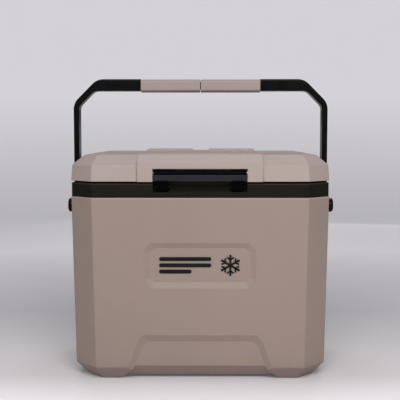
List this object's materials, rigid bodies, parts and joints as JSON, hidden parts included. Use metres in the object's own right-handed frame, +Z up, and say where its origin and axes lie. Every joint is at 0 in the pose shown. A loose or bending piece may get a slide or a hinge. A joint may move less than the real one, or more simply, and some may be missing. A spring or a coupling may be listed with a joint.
{
  "type": "cooler chest",
  "caption": "Hard-sided cooler chest with a hinged lid, a front pull latch and a swinging bail handle with a two-piece grip.",
  "frame": {"origin": "on the floor, under the middle of the chest", "axes": "+X along the chest's length to the right of someone facing its latch, +Y to the hinge side, so the latch faces -Y, +Z up"},
  "size_m": [0.412, 0.273, 0.4374],
  "materials": {
    "shell_tan": "matte",
    "lid_tan": "satin",
    "collar_dark": "satin",
    "handle_black": "satin",
    "latch_black": "satin",
    "liner_white": "satin",
    "foam": "matte",
    "seal_rubber": "matte",
    "steel": "satin",
    "badge_black": "satin"
  },
  "bodies": {
    "base": {"outer_body_shell": "shell_tan", "body_insulation": "foam", "liner_tub": "liner_white", "rim_collar": "collar_dark", "panel_badge": "badge_black", "base_hinge_screws": "steel", "latch_keeper_left": "collar_dark", "latch_keeper_right": "collar_dark", "pivot_bush_left": "handle_black", "pivot_bush_right": "handle_black", "base_hinge_leaf_left": "collar_dark", "base_hinge_leaf_right": "collar_dark", "hinge_pin_left": "steel", "hinge_pin_right": "steel"},
    "lid": {"lid_outer_shell": "lid_tan", "lid_insulation": "foam", "lid_inner_pan": "liner_white", "lid_gasket": "seal_rubber", "lid_hinge_screws": "steel", "latch_pin": "steel", "lid_hinge_leaf_left": "collar_dark", "lid_hinge_leaf_right": "collar_dark"},
    "latch": {"latch_paddle": "latch_black"},
    "pivot_pins": {"pivot_pin_left": "steel", "pivot_pin_right": "steel", "pivot_cap_left": "handle_black", "pivot_cap_right": "handle_black", "pivot_retainer_left": "steel", "pivot_retainer_right": "steel"},
    "handle": {"handle_bail": "handle_black", "grip_half_left": "lid_tan", "grip_half_right": "lid_tan"}
  },
  "joints": [
    {"name": "lid_hinge", "type": "hinge", "parent": "base", "child": "lid", "pos_m": [0, 0.132, 0.2855], "axis": [-1, 0, 0], "range_deg": [0, 90]},
    {"name": "latch_swing", "type": "hinge", "parent": "lid", "child": "latch", "pos_m": [0, -0.1295, 0.299], "axis": [-1, 0, 0], "range_deg": [0, 60]},
    {"name": "bail_carry", "type": "hinge", "parent": "base", "child": "pivot_pins", "pos_m": [0, 0, 0.2432], "axis": [-1, 0, 0], "range_deg": [0, 122.4]},
    {"name": "handle_swing", "type": "hinge", "parent": "pivot_pins", "child": "handle", "pos_m": [0, 0, 0.2432], "axis": [1, 0, 0], "range_deg": [-2, 125]}
  ],
  "couplings": [
    {"joint": "bail_carry", "follows": "lid_hinge", "ratio": 1.36}
  ]
}
